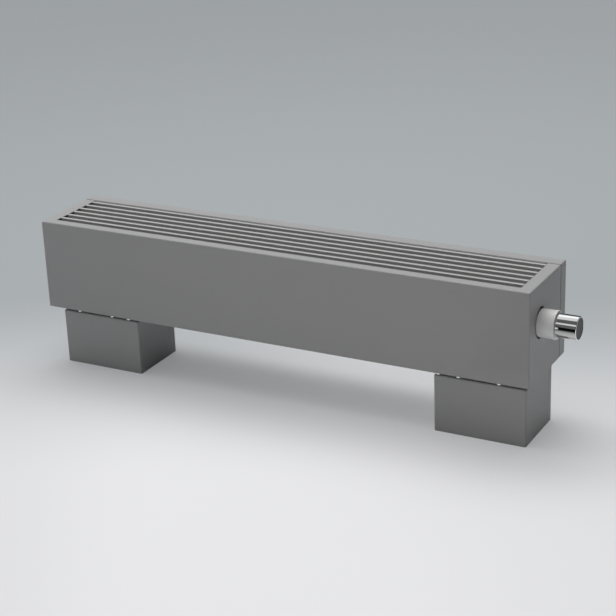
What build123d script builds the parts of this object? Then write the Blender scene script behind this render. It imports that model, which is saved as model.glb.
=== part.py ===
from build123d import *
import math
import os

# Floor-standing convector: a folded sheet casing on two box plinths, a finned exchanger inside,
# a lift-out bar grille on top and a thermostatic valve whose head stands out of the right end.
# Everything is drawn with X along the casing from its middle, Y back from its front face and
# Z up from the floor, and is moved to the middle of the overall box when it is written.
# Lengths are in millimetres.

# Sheet metal
sheet = 1.5
bend_radius = 2.5
plate = 2.0
contact_gap = 0.3
fit_gap = 0.05

# Casing
casing_length = 860.0
casing_height = 150.0
front_casing_depth = 127.5
casing_joint = 2.0
rear_panel_depth = 22.5
front_rail = 16.5
end_rail = 20.0
rear_rail = 1.5
opening_lip = 14.0
bottom_flange = 20.5
end_flange = 12.0
joint_lip = 10.5

# Grille
slat_count = 6
slat_width = 6.0
slat_depth = 16.0
slat_pitch = 17.9
first_slat_gap = 11.3
slat_end_gap = 0.6
grille_rod_radius = 2.5
grille_spacer_radius = 4.0
grille_rod_count = 4
grille_rod_inset = 70.0
grille_rod_rise = 4.5
ledge_reach = 30.0
ledge_drop = 16.0
ledge_margin = 4.0

# Plinths
plinth_width = 148.0
plinth_depth = 108.0
plinth_height = 93.0
plinth_gap = 4.0
plinth_setback = 3.0
left_plinth_inset = 28.0
right_plinth_inset = 5.0
plinth_back_depth = 14.0
plinth_joint = 0.5
plinth_tab_width = 14.0
plinth_tab_top = 10.0
plinth_tab_height = 44.0
base_flange_height = 14.0
base_flange_end = 26.0
base_tab_height = 20.0
base_tab_inset = 20.0
anchor_spacing_x = 116.0
anchor_spacing_y = 70.0
anchor_hole_radius = 4.0
pipe_opening_margin_x = 16.0
pipe_opening_margin_y = 20.0
support_plate_margin = 8.0

# Fasteners
bolt_radius = 2.0
bolt_hole_radius = 2.2
bolt_head_radius = 3.5
bolt_head_height = 3.0
bolt_end = 1.0
nut_across_flats = 7.0
nut_height = 3.2
spacer_radius = 5.0
front_bolt_edge = 6.2
rear_bolt_edge = 9.0
bolt_pitch = 32.5
left_bolt_inset = 30.0
right_bolt_inset = 6.0
screw_radius = 2.0
screw_head_radius = 3.6
screw_head_height = 2.2
back_screw_edge = 11.0
back_screw_drop = 17.0
back_screw_rise = 14.0
rear_screw_spacing = 100.0
rear_screw_length = 6.0
screw_tail = 3.0

# Spring clips across the joint of front casing and rear panel
clip_sheet = 0.8
clip_width = 20.0
clip_height = 9.0
clip_spacing = 300.0
clip_count = 3

# Exchanger
fin_left_inset = 45.0
fin_header_gap = 38.0
fin_pitch = 8.0
fin_sheet = 0.6
fin_inset_y = 16.0
fin_lift = 7.5
fin_height = 64.0
tube_radius = 7.45
tube_wall = 0.8
tube_row_inset = 30.0
tube_level_spacing = 32.0
sleeve_wall = 0.6
hairpin_overrun = 15.0
end_plate_gap = 7.0
end_plate_overhang = 1.0
end_plate_rise = 3.0
foot_reach = 13.5
foot_front_width = 24.0
foot_rear_width = 28.0

# Headers and air vent
header_radius = 11.0
header_bore = 8.5
header_overhang = 16.0
header_socket_radius = 9.5
header_socket_reach = 17.0
header_socket_depth = 8.0
plug_flats = 17.0
plug_head = 5.0
plug_depth = 6.0
vent_flats = 12.0
vent_height = 8.0
vent_neck_radius = 4.5
vent_neck_height = 5.0
vent_thread_radius = 4.0
bleed_radius = 2.5
bleed_length = 9.0
bleed_head_flats = 5.0
bleed_head_height = 4.0

# Pipes and fittings
valve_y = 44.0
valve_rise = 89.0
flow_inset = 45.0
pipe_spacing = 50.0
pipe_radius = 7.5
pipe_wall = 1.0
return_stub_height = 6.0
elbow_radius = 9.5
elbow_bend = 12.0
elbow_foot = 1.0
union_flats = 27.0
union_length = 14.0
union_overlap = 4.0
fitting_flats = 26.0
fitting_bottom = 8.0
fitting_height = 26.0
thread_bore_radius = 9.3
thread_bore_depth = 12.0
fitting_socket_depth = 12.0
fitting_waist_radius = 6.0

# Thermostatic valve
body_radius = 15.0
body_left_reach = 17.0
body_right_reach = 15.0
body_cavity_radius = 11.0
seat_radius = 6.0
seat_thickness = 4.0
outlet_radius = 12.4
outlet_bore_radius = 8.0
outlet_length = 12.0
inlet_radius = 12.0
inlet_length = 22.0
inlet_socket_depth = 10.0
inlet_bore_radius = 6.5
compression_nut_height = 12.0
bonnet_plug_length = 9.0
bonnet_flats = 26.0
bonnet_flange = 6.0
bonnet_neck_radius = 12.0
bonnet_neck_length = 6.0
bonnet_thread_radius = 14.9
bonnet_thread_length = 8.9
spring_chamber_radius = 4.5
spring_chamber_end = 1.0
stem_radius = 1.5
stem_fit = 0.06
stem_collar_radius = 4.0
stem_collar_width = 1.0
stem_collar_gap = 2.0
disc_overlap = 2.5
disc_thickness = 3.0
disc_lift = 2.4
spring_wire = 0.4
spring_turns = 5.0

# Thermostatic head
head_gap = 0.4
head_base_length = 26.6
head_base_radius = 21.5
head_rim_radius = 22.0
head_rim_length = 4.0
head_wall = 2.0
head_root_round = 1.0
thread_gap = 0.1
neck_radius = 13.0
neck_bore_radius = 11.0
neck_flange_length = 4.5
head_nut_radius = 17.5
head_nut_lip_width = 2.3
capsule_radius = 12.0
capsule_length = 33.0
pusher_length = 6.6
pusher_radius = 3.0
handle_radius = 18.3
handle_length = 32.6
handle_gap = 0.4
handle_wall = 2.0
handle_rim_round = 0.8
handle_web = 2.6
capsule_gap = 0.4
handle_sleeve_wall = 2.0
handle_sleeve_reach = 17.4
end_cap_thickness = 2.4
end_cap_recess = 0.6
ring_width = 1.5
ring_wall = 2.4
valve_slot_half_width = 18.5
valve_slot_half_height = 25.0

# Lockshield valve on the return
lockshield_radius = 12.0
lockshield_drop = 33.0
lockshield_axis_rise = 16.0
branch_radius = 9.0
branch_length = 22.0
spindle_radius = 4.0
spindle_inner_end = 8.0
spindle_slot = 1.0
cap_wall = 1.45
cap_length = 14.0
return_nut_height = 12.0

# Places worked out from the sizes above
casing_left = -casing_length / 2
casing_right = casing_length / 2
casing_underside = plinth_height + plinth_gap
casing_top = casing_underside + casing_height
rear_panel_front = front_casing_depth + casing_joint
casing_back = rear_panel_front + rear_panel_depth
flange_top = casing_underside + sheet
support_top = flange_top + plate
slat_bottom = casing_top - slat_depth
grille_front = front_rail
grille_back = front_casing_depth - rear_rail
grille_left = casing_left + end_rail
grille_right = casing_right - end_rail
plinth_back = plinth_setback + plinth_depth
plinth_split = plinth_back - plinth_back_depth
front_bolt_row = plinth_setback + front_bolt_edge
rear_bolt_row = plinth_split - rear_bolt_edge
left_plinth_x = casing_left + left_plinth_inset
right_plinth_x = casing_right - right_plinth_inset - plinth_width
valve_z = casing_underside + valve_rise
flow_x = casing_right - flow_inset
header_x = flow_x - pipe_spacing
pipe_opening_x = (header_x - pipe_opening_margin_x, flow_x + pipe_opening_margin_x)
pipe_opening_y = (valve_y - pipe_opening_margin_y, valve_y + pipe_opening_margin_y)
fin_left = casing_left + fin_left_inset
fin_right = header_x - fin_header_gap
fin_front = fin_inset_y
fin_back = casing_back - fin_inset_y
fin_bottom = support_top + fin_lift
fin_top = fin_bottom + fin_height
end_plate_front = fin_front - end_plate_overhang
end_plate_back = fin_back + end_plate_overhang
end_plate_top = fin_top + end_plate_rise
low_tube_z = fin_bottom + (fin_height - tube_level_spacing) / 2
high_tube_z = low_tube_z + tube_level_spacing
front_tube_y = fin_front + tube_row_inset
rear_tube_y = fin_back - tube_row_inset
sleeve_bore = tube_radius + fit_gap
bend_start = fin_left - hairpin_overrun
body_left = flow_x - body_left_reach
body_right = flow_x + body_right_reach
supply_stub_top = valve_z - elbow_bend - elbow_foot
return_stub_end = low_tube_z - header_radius - return_stub_height
elbow_end = body_left - outlet_length
seat_x = body_left + seat_thickness
disc_radius = seat_radius + disc_overlap
bonnet_thread_end = body_right + bonnet_flange + bonnet_neck_length + bonnet_thread_length
head_root = casing_right + head_gap
head_base_end = head_root + head_base_length
capsule_start = head_root + pusher_length
neck_flange_radius = bonnet_thread_radius - thread_gap
head_nut_bore = bonnet_thread_radius + thread_gap
head_nut_lip = neck_radius + 2 * thread_gap
handle_sleeve_bore = capsule_radius + capsule_gap
handle_start = head_base_end + handle_gap
handle_end = handle_start + handle_length
lockshield_bottom = plinth_height - lockshield_drop
lockshield_axis_z = lockshield_bottom + lockshield_axis_rise
fitting_top = fitting_bottom + fitting_height
fitting_socket_floor = fitting_top - fitting_socket_depth
to_origin = Location((-(casing_left + handle_end) / 2, -casing_back / 2, 0))

# The bolts of the two plinths follow one pattern, mirrored
left_bolts = [left_plinth_x + left_bolt_inset + step * bolt_pitch for step in (0, 2, 3)]
right_bolts = [right_plinth_x + right_bolt_inset + step * bolt_pitch for step in (0, 1, 3)]
plinth_layout = {"left": (left_plinth_x, left_bolts), "right": (right_plinth_x, right_bolts)}


def block(x0, x1, y0, y1, z0, z1):
    """Upright box between two opposite corners."""
    return Pos((x0 + x1) / 2, (y0 + y1) / 2, (z0 + z1) / 2) * Box(x1 - x0, y1 - y0, z1 - z0)


def rod_x(x0, x1, y, z, radius):
    return Pos((x0 + x1) / 2, y, z) * Rot(0, 90, 0) * Cylinder(radius, x1 - x0)


def rod_y(y0, y1, x, z, radius):
    return Pos(x, (y0 + y1) / 2, z) * Rot(90, 0, 0) * Cylinder(radius, y1 - y0)


def rod_z(z0, z1, x, y, radius):
    return Pos(x, y, (z0 + z1) / 2) * Cylinder(radius, z1 - z0)


def hexagon(length, flats):
    return extrude(RegularPolygon(flats / 2, 6, major_radius=False), length)


def hex_x(x0, x1, y, z, flats):
    return Pos(x0, y, z) * Rot(0, 90, 0) * hexagon(x1 - x0, flats)


def hex_y(y0, y1, x, z, flats):
    return Pos(x, y0, z) * Rot(-90, 0, 0) * hexagon(y1 - y0, flats)


def hex_z(z0, z1, x, y, flats):
    return Pos(x, y, z0) * hexagon(z1 - z0, flats)


def turned_x(profile, y, z):
    """Solid turned about an axis along X, from its half section given as (x, radius) points."""
    section = make_face(Polyline(*[(x, r) for x, r in profile], close=True))
    return Pos(0, y, z) * revolve(section, Axis.X)


def write(node, *pieces):
    """Write one node, as a group of solids where it holds several equal pieces."""
    solids = [solid for piece in pieces for solid in piece.solids()]
    export_step(Compound(solids).moved(to_origin), f"parts/{node}.step")


def folded_box(x0, x1, y0, y1, z0, z1, open_back):
    """Sheet box with rounded folds, open below and at its back or its front."""
    back_cut = 1 if open_back else -sheet
    front_cut = sheet if open_back else -1

    def rounded(shape, radius):
        upright = shape.edges().filter_by(Axis.Z).sort_by(Axis.Y)
        top = shape.edges().group_by(Axis.Z)[-1].sort_by(Axis.Y)
        folds = upright[:2] + top[:3] if open_back else upright[-2:] + top[-3:]
        return fillet(folds, min(radius, (y1 - y0) / 4))

    outside = rounded(block(x0, x1, y0, y1, z0, z1), bend_radius)
    inside = rounded(
        block(x0 + sheet, x1 - sheet, y0 + front_cut, y1 + back_cut, z0 - 1, z1 - sheet),
        bend_radius - sheet,
    )
    return outside - inside


def pipe_opening(x0, x1, bottom, top):
    """Cutter for the pipes, or nothing where the sheet between x0 and x1 has no pipes."""
    if x0 < pipe_opening_x[0] and pipe_opening_x[1] < x1:
        return block(*pipe_opening_x, *pipe_opening_y, bottom - 1, top + 1)
    return Part()


def rear_screw_columns(plinth_x):
    middle = plinth_x + plinth_width / 2
    return [middle - rear_screw_spacing / 2, middle + rear_screw_spacing / 2]


def rear_screw_row():
    return rear_panel_front + rear_panel_depth / 2


def front_casing():
    """Front, both ends and the frame of the grille, folded from one sheet."""
    shell = folded_box(
        casing_left, casing_right, 0, front_casing_depth, casing_underside, casing_top, True
    )
    inner_left = casing_left + sheet
    inner_right = casing_right - sheet
    lip_y = front_casing_depth - sheet
    shell -= block(
        grille_left, grille_right, grille_front, grille_back, casing_top - 2 * sheet, casing_top + 1
    )
    shell += block(
        grille_left, grille_right, grille_front - sheet, grille_front, casing_top - opening_lip, casing_top
    )
    shell += block(inner_left, inner_right, sheet, sheet + bottom_flange, casing_underside, flange_top)
    shell += block(
        inner_left + bend_radius, inner_right - bend_radius, lip_y, front_casing_depth,
        casing_top - sheet - joint_lip, casing_top - sheet,
    )
    lip_top = casing_top - sheet - joint_lip
    for wall_x, way in ((inner_left, 1), (inner_right, -1)):
        flange_x = sorted((wall_x, wall_x + way * end_flange))
        shell += block(*flange_x, sheet, lip_y, casing_underside, flange_top)
        lip_x = sorted((wall_x, wall_x + way * joint_lip))
        shell += block(*lip_x, lip_y, front_casing_depth, support_top + contact_gap, lip_top)
    slot_middle = valve_slot_half_height - valve_slot_half_width
    slot_left = casing_right - 2 * sheet
    slot_right = casing_right + 1
    for side in (-1, 1):
        shell -= rod_x(slot_left, slot_right, valve_y, valve_z + side * slot_middle, valve_slot_half_width)
    shell -= block(
        slot_left, slot_right, valve_y - valve_slot_half_width, valve_y + valve_slot_half_width,
        valve_z - slot_middle, valve_z + slot_middle,
    )
    for x in left_bolts + right_bolts:
        shell -= rod_z(casing_underside - 1, flange_top + 1, x, front_bolt_row, bolt_hole_radius)
    return shell


def rear_panel():
    """Back of the casing, a shallow tray with the same top and end outlines."""
    shell = folded_box(
        casing_left, casing_right, rear_panel_front, casing_back, casing_underside, casing_top, False
    )
    inner_left = casing_left + sheet
    inner_right = casing_right - sheet
    lip_back = rear_panel_front + sheet
    lip_top = casing_top - sheet - joint_lip
    shell += block(
        inner_left + bend_radius, inner_right - bend_radius, rear_panel_front, lip_back,
        lip_top, casing_top - sheet,
    )
    shell += block(
        inner_left, inner_right, lip_back, casing_back - sheet, casing_underside, flange_top
    )
    for wall_x, way in ((inner_left, 1), (inner_right, -1)):
        lip_x = sorted((wall_x, wall_x + way * joint_lip))
        shell += block(*lip_x, rear_panel_front, lip_back, support_top + contact_gap, lip_top)
    for plinth_x in (left_plinth_x, right_plinth_x):
        for x in rear_screw_columns(plinth_x):
            shell -= rod_z(casing_underside - 1, flange_top + 1, x, rear_screw_row(), screw_radius)
    return shell


def cover_clips():
    """U clips that hold the two down-turned lips of the casing joint together."""
    lip_bottom = casing_top - sheet - joint_lip
    lip_front = front_casing_depth - sheet
    lip_back = rear_panel_front + sheet
    clips = []
    for number in range(clip_count):
        x = (number - (clip_count - 1) / 2) * clip_spacing
        body = block(
            x - clip_width / 2, x + clip_width / 2, lip_front - clip_sheet, lip_back + clip_sheet,
            lip_bottom - clip_sheet, lip_bottom + clip_height,
        )
        body -= block(
            x - clip_width, x + clip_width, lip_front, lip_back, lip_bottom, lip_bottom + 2 * clip_height
        )
        clips.append(body)
    return clips


def grille_ledge(wall_x, way):
    """Angle on the end wall, under the end rail, that the bars of the grille rest on."""
    y0 = grille_front + ledge_margin
    y1 = grille_back - ledge_margin
    shelf_x = sorted((wall_x, wall_x + way * ledge_reach))
    back_x = sorted((wall_x, wall_x + way * sheet))
    ledge = block(*shelf_x, y0, y1, slat_bottom - sheet, slat_bottom)
    return ledge + block(*back_x, y0, y1, slat_bottom - ledge_drop, slat_bottom)


def slat_middles():
    first = grille_front + first_slat_gap + slat_width / 2
    return [first + number * slat_pitch for number in range(slat_count)]


def grille_rod_places():
    reach = grille_right - grille_rod_inset
    return [-reach + number * 2 * reach / (grille_rod_count - 1) for number in range(grille_rod_count)]


def grille():
    """Bars, the cross rods through them and the spacers between them."""
    rod_z_place = slat_bottom + grille_rod_rise
    slats = []
    for y in slat_middles():
        slat = block(
            grille_left + slat_end_gap, grille_right - slat_end_gap,
            y - slat_width / 2, y + slat_width / 2, slat_bottom, casing_top,
        )
        for x in grille_rod_places():
            slat -= rod_y(y - slat_width, y + slat_width, x, rod_z_place, grille_rod_radius + fit_gap)
        slats.append(slat)
    first = slat_middles()[0] - slat_width / 2
    last = slat_middles()[-1] + slat_width / 2
    rods = [rod_y(first, last, x, rod_z_place, grille_rod_radius) for x in grille_rod_places()]
    spacers = []
    for x in grille_rod_places():
        for y in slat_middles()[:-1]:
            start = y + slat_width / 2
            end = y + slat_pitch - slat_width / 2
            spacer = rod_y(start, end, x, rod_z_place, grille_spacer_radius)
            spacers.append(spacer - rod_y(start - 1, end + 1, x, rod_z_place, grille_rod_radius + fit_gap))
    return slats, rods, spacers


def support_plate(plinth_x, bolt_columns):
    """Plate inside the casing over one plinth; it stands on the front and rear bottom flanges."""
    inner_left = casing_left + sheet + contact_gap
    inner_right = casing_right - sheet - contact_gap
    x0 = max(plinth_x - support_plate_margin, inner_left)
    x1 = min(plinth_x + plinth_width + support_plate_margin, inner_right)
    body = block(x0, x1, sheet + contact_gap, casing_back - sheet - contact_gap, flange_top, support_top)
    body -= pipe_opening(x0, x1, flange_top, support_top)
    for x in bolt_columns:
        for y in (front_bolt_row, rear_bolt_row):
            body -= rod_z(flange_top - 1, support_top + 1, x, y, bolt_hole_radius)
    for x in rear_screw_columns(plinth_x):
        body -= rod_z(flange_top - 1, support_top + 1, x, rear_screw_row(), screw_radius)
    for x, y in end_plate_screw_places():
        if x0 < x < x1:
            body -= rod_z(flange_top - 1, support_top + 1, x, y, screw_radius)
    return body


def plinth(x0, bolt_columns):
    """One box foot: cover with top and three sides, back with wrapped ends, base plate inside."""
    x1 = x0 + plinth_width
    middle = (x0 + x1) / 2
    inner_back = plinth_back - sheet
    corner = bend_radius - sheet
    tab_top = plinth_height - plinth_tab_top
    tab_bottom = tab_top - plinth_tab_height

    cover = folded_box(x0, x1, plinth_setback, plinth_split - plinth_joint, 0, plinth_height, True)
    cover -= pipe_opening(x0, x1, plinth_height - sheet, plinth_height)
    for wall_x, way in ((x0 + sheet, 1), (x1 - sheet, -1)):
        tongue_x = sorted((wall_x, wall_x + way * sheet))
        tab_x = sorted((wall_x + way * corner, wall_x + way * plinth_tab_width))
        cover += block(*tongue_x, plinth_split - plinth_back_depth, inner_back - corner, tab_bottom, tab_top)
        cover += block(*tab_x, inner_back - sheet, inner_back, tab_bottom, tab_top)
    for x in bolt_columns:
        for y in (front_bolt_row, rear_bolt_row):
            cover -= rod_z(plinth_height - 2 * sheet, plinth_height + 1, x, y, bolt_hole_radius)

    back = folded_box(x0, x1, plinth_split, plinth_back, 0, plinth_height, False)

    base = block(
        x0 + sheet, x1 - sheet, plinth_setback + sheet + contact_gap, inner_back, 0, plate
    )
    base = fillet(base.edges().filter_by(Axis.Z), bend_radius)
    base -= pipe_opening(x0, x1, 0, plate)
    for side_x in (middle - anchor_spacing_x / 2, middle + anchor_spacing_x / 2):
        for side_y in (-anchor_spacing_y / 2, anchor_spacing_y / 2):
            y = plinth_setback + plinth_depth / 2 + side_y
            base -= rod_z(-1, plate + 1, side_x, y, anchor_hole_radius)
    flange_y = (plinth_setback + 3 * bend_radius, inner_back - base_flange_end)
    for wall_x, way in ((x0 + sheet, 1), (x1 - sheet, -1)):
        flange_x = sorted((wall_x, wall_x + way * plate))
        base += block(*flange_x, *flange_y, 0, plate + base_flange_height)
    base += block(
        x0 + base_tab_inset, x1 - base_tab_inset, inner_back - plate, inner_back, 0, base_tab_height
    )

    screws = []
    screw_front = inner_back - plate - screw_tail
    upper_z = plinth_height - back_screw_drop
    base_screw_inset = base_tab_inset + back_screw_edge
    places = (
        (x0 + back_screw_edge, upper_z), (x1 - back_screw_edge, upper_z),
        (x0 + base_screw_inset, back_screw_rise), (x1 - base_screw_inset, back_screw_rise),
    )
    for x, z in places:
        hole = rod_y(screw_front - 1, plinth_back + 1, x, z, screw_radius)
        cover -= hole
        back -= hole
        base -= hole
        head = rod_y(plinth_back, plinth_back + screw_head_height, x, z, screw_head_radius)
        screws.append(head + rod_y(screw_front, plinth_back, x, z, screw_radius))
    return cover, back, base, screws


def plinth_fasteners(bolt_columns):
    """Polished spacers between plinth and casing, with the bolts and nuts that clamp them."""
    spacers = []
    bolts = []
    nuts = []
    for x in bolt_columns:
        for y, seat in ((front_bolt_row, casing_underside), (rear_bolt_row, flange_top)):
            spacer = rod_z(plinth_height, seat, x, y, spacer_radius)
            spacers.append(spacer - rod_z(plinth_height - 1, seat + 1, x, y, bolt_hole_radius))
            head_top = plinth_height - sheet
            bolt = rod_z(head_top - bolt_head_height, head_top, x, y, bolt_head_radius)
            bolt += rod_z(head_top, support_top + nut_height + bolt_end, x, y, bolt_radius)
            bolts.append(bolt)
            nut = hex_z(support_top, support_top + nut_height, x, y, nut_across_flats)
            nut_bore = rod_z(support_top - 1, support_top + nut_height + 1, x, y, bolt_radius + fit_gap)
            nuts.append(nut - nut_bore)
    return spacers, bolts, nuts


def rear_panel_screws():
    """Screws that come up through the rear bottom flange into the support plates."""
    screws = []
    for plinth_x in (left_plinth_x, right_plinth_x):
        for x in rear_screw_columns(plinth_x):
            y = rear_screw_row()
            head = rod_z(casing_underside - screw_head_height, casing_underside, x, y, screw_head_radius)
            shank_top = casing_underside + rear_screw_length
            screws.append(head + rod_z(casing_underside, shank_top, x, y, screw_radius))
    return screws


def tube_places():
    return [(y, z) for y in (front_tube_y, rear_tube_y) for z in (low_tube_z, high_tube_z)]


def fin_pack():
    """Thin upright fins joined to the sleeves that are pressed on the tubes."""
    length = fin_right - fin_left
    fin_count = int((length - fin_sheet) // fin_pitch) + 1
    start = fin_left
    fin = block(start, start + fin_sheet, fin_front, fin_back, fin_bottom, fin_top)
    for y, z in tube_places():
        fin -= rod_x(start - 1, start + fin_sheet + 1, y, z, sleeve_bore)
    last = start + (fin_count - 1) * fin_pitch + fin_sheet
    sleeves = []
    for y, z in tube_places():
        sleeve = rod_x(start, last, y, z, sleeve_bore + sleeve_wall)
        sleeves.append(sleeve - rod_x(start - 1, last + 1, y, z, sleeve_bore))
    fins = [Pos(number * fin_pitch, 0, 0) * fin for number in range(fin_count)]
    return fins[0].fuse(*fins[1:], *sleeves)


def hairpin_tube(y):
    """Copper tube that runs out along the lower level, turns at the left and comes back above."""
    tube_end = header_x - header_socket_reach + header_socket_depth
    path = Wire([
        Edge.make_line((tube_end, y, low_tube_z), (bend_start, y, low_tube_z)),
        Edge.make_three_point_arc(
            (bend_start, y, low_tube_z),
            (bend_start - tube_level_spacing / 2, y, (low_tube_z + high_tube_z) / 2),
            (bend_start, y, high_tube_z),
        ),
        Edge.make_line((bend_start, y, high_tube_z), (tube_end, y, high_tube_z)),
    ])
    start = Plane(origin=(tube_end, y, low_tube_z), z_dir=(-1, 0, 0))
    outside = sweep(start * Circle(tube_radius), path)
    return outside - sweep(start * Circle(tube_radius - tube_wall), path)


def end_plate_x():
    """Inner faces of the two end plates, one gap beyond the fins."""
    return fin_left - end_plate_gap, fin_right + end_plate_gap


def end_plate_screw_places():
    left, right = end_plate_x()
    front = end_plate_front + foot_front_width / 2
    rear = end_plate_back - foot_rear_width / 2
    columns = (left - sheet - foot_reach / 2, right + sheet + foot_reach / 2)
    return [(x, y) for x in columns for y in (front, rear)]


def exchanger_end_plate(inner_x, way):
    """Upright sheet with two feet that carries the tubes over the support plate."""
    foot_top = support_top + sheet
    front_foot_back = end_plate_front + foot_front_width
    rear_foot_front = end_plate_back - foot_rear_width
    wall_x = sorted((inner_x, inner_x + way * sheet))
    foot_x = sorted((inner_x, inner_x + way * (sheet + foot_reach)))
    body = block(*wall_x, end_plate_front, end_plate_back, support_top, end_plate_top)
    body += block(*foot_x, end_plate_front, front_foot_back, support_top, foot_top)
    body += block(*foot_x, rear_foot_front, end_plate_back, support_top, foot_top)
    for y, z in tube_places():
        body -= rod_x(inner_x - 2 * sheet, inner_x + 2 * sheet, y, z, tube_radius + 2 * fit_gap)
    for x, y in end_plate_screw_places():
        body -= rod_z(support_top - 1, support_top + 2 * sheet, x, y, screw_radius)
    return body


def end_plate_screws():
    screws = []
    for x, y in end_plate_screw_places():
        head_seat = support_top + sheet
        head = rod_z(head_seat, head_seat + screw_head_height, x, y, screw_head_radius)
        screws.append(head + rod_z(flange_top - screw_tail / 2, head_seat, x, y, screw_radius))
    return screws


def header(z, stub_end):
    """Cross pipe that joins the two tube rows, with sockets and one stub for the pipework."""
    y0 = front_tube_y - header_overhang
    y1 = rear_tube_y + header_overhang
    socket_x = header_x - header_socket_reach
    body = rod_y(y0, y1, header_x, z, header_radius)
    stub_cut = stub_end + (1 if stub_end > z else -1)
    body += rod_z(*sorted((z, stub_end)), header_x, valve_y, elbow_radius)
    for y in (front_tube_y, rear_tube_y):
        body += rod_x(socket_x, header_x, y, z, header_socket_radius)
    body -= rod_y(y0 - 1, y1 + 1, header_x, z, header_bore)
    body -= rod_z(*sorted((z, stub_cut)), header_x, valve_y, fitting_waist_radius)
    for y in (front_tube_y, rear_tube_y):
        body -= rod_x(socket_x, header_x, y, z, tube_radius - tube_wall)
        body -= rod_x(socket_x - 1, socket_x + header_socket_depth, y, z, tube_radius + fit_gap)
    return body


def supply_header():
    """Upper header, tapped on top for the air vent."""
    body = header(high_tube_z, supply_stub_top)
    return body - rod_z(
        high_tube_z, high_tube_z + header_radius + 1, header_x, rear_tube_y, vent_thread_radius + fit_gap
    )


def header_plugs():
    """Hexagon plugs in both ends of both headers."""
    plugs = []
    y0 = front_tube_y - header_overhang
    y1 = rear_tube_y + header_overhang
    for z in (low_tube_z, high_tube_z):
        front = hex_y(y0 - plug_head, y0, header_x, z, plug_flats)
        plugs.append(front + rod_y(y0, y0 + plug_depth, header_x, z, header_bore - fit_gap))
        rear = hex_y(y1, y1 + plug_head, header_x, z, plug_flats)
        plugs.append(rear + rod_y(y1 - plug_depth, y1, header_x, z, header_bore - fit_gap))
    return plugs


def air_vent():
    """Vent on the supply header: a hexagon body and the bleed screw that turns in it."""
    seat = high_tube_z + header_radius
    vent_top = seat + vent_height + vent_neck_height
    hole_depth = vent_top - bleed_length
    body = hex_z(seat, seat + vent_height, header_x, rear_tube_y, vent_flats)
    body += rod_z(seat + vent_height, vent_top, header_x, rear_tube_y, vent_neck_radius)
    body += rod_z(high_tube_z + header_bore, seat, header_x, rear_tube_y, vent_thread_radius)
    body -= rod_z(hole_depth, vent_top + 1, header_x, rear_tube_y, bleed_radius + stem_fit)
    body -= rod_z(high_tube_z, hole_depth, header_x, rear_tube_y, bleed_radius / 2)
    screw = rod_z(hole_depth + contact_gap, vent_top, header_x, rear_tube_y, bleed_radius)
    head = Box(bleed_head_flats, bleed_head_flats, bleed_head_height)
    head_z = vent_top + contact_gap + bleed_head_height / 2
    screw += rod_z(vent_top, vent_top + contact_gap, header_x, rear_tube_y, bleed_radius)
    screw += Pos(header_x, rear_tube_y, head_z) * head
    return body, screw


def supply_elbow():
    """Elbow from the supply header up and over to the valve."""
    bend_bottom = (header_x, valve_y, valve_z - elbow_bend)
    bend_end = (header_x + elbow_bend, valve_y, valve_z)
    halfway = elbow_bend * (1 - math.sqrt(0.5))
    bend_middle = (header_x + halfway, valve_y, valve_z - halfway)
    path = Wire([
        Edge.make_line((header_x, valve_y, supply_stub_top), bend_bottom),
        Edge.make_three_point_arc(bend_bottom, bend_middle, bend_end),
        Edge.make_line(bend_end, (elbow_end, valve_y, valve_z)),
    ])
    start = Plane(origin=(header_x, valve_y, supply_stub_top), z_dir=(0, 0, 1))
    outside = sweep(start * Circle(elbow_radius), path)
    return outside - sweep(start * Circle(fitting_waist_radius), path)


def supply_union_nut():
    """Nut that pulls the elbow and the valve's outlet together."""
    nut_start = elbow_end - union_overlap
    nut = hex_x(nut_start, nut_start + union_length, valve_y, valve_z, union_flats)
    nut -= rod_x(nut_start - 1, elbow_end, valve_y, valve_z, elbow_radius + fit_gap)
    return nut - rod_x(elbow_end, nut_start + union_length + 1, valve_y, valve_z, outlet_radius + fit_gap)


def valve_body():
    """Angle body in line with the head: inlet from below, outlet towards the exchanger."""
    inlet_bottom = valve_z - inlet_length
    body = rod_x(body_left, body_right, valve_y, valve_z, body_radius)
    body += rod_x(body_left - outlet_length, body_left, valve_y, valve_z, outlet_radius)
    body += rod_z(inlet_bottom, valve_z, flow_x, valve_y, inlet_radius)
    body -= rod_x(seat_x, body_right + 1, valve_y, valve_z, body_cavity_radius)
    body -= rod_x(body_left - outlet_length - 1, body_left, valve_y, valve_z, outlet_bore_radius)
    body -= rod_x(body_left - 1, seat_x + 1, valve_y, valve_z, seat_radius)
    body -= rod_z(inlet_bottom - 1, valve_z, flow_x, valve_y, inlet_bore_radius)
    body -= rod_z(inlet_bottom - 1, inlet_bottom + inlet_socket_depth, flow_x, valve_y, pipe_radius + fit_gap)
    return body


def valve_bonnet():
    """Insert that closes the body, guides the stem and carries the thread of the head."""
    plug_start = body_right - bonnet_plug_length
    flange_end = body_right + bonnet_flange
    neck_end = flange_end + bonnet_neck_length
    body = rod_x(plug_start, body_right, valve_y, valve_z, body_cavity_radius - fit_gap)
    body += hex_x(body_right, flange_end, valve_y, valve_z, bonnet_flats)
    body += rod_x(flange_end, neck_end, valve_y, valve_z, bonnet_neck_radius)
    body += rod_x(neck_end, bonnet_thread_end, valve_y, valve_z, bonnet_thread_radius)
    body -= rod_x(plug_start - 1, flange_end - spring_chamber_end, valve_y, valve_z, spring_chamber_radius)
    return body - rod_x(plug_start, bonnet_thread_end + 1, valve_y, valve_z, stem_radius + stem_fit)


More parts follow.
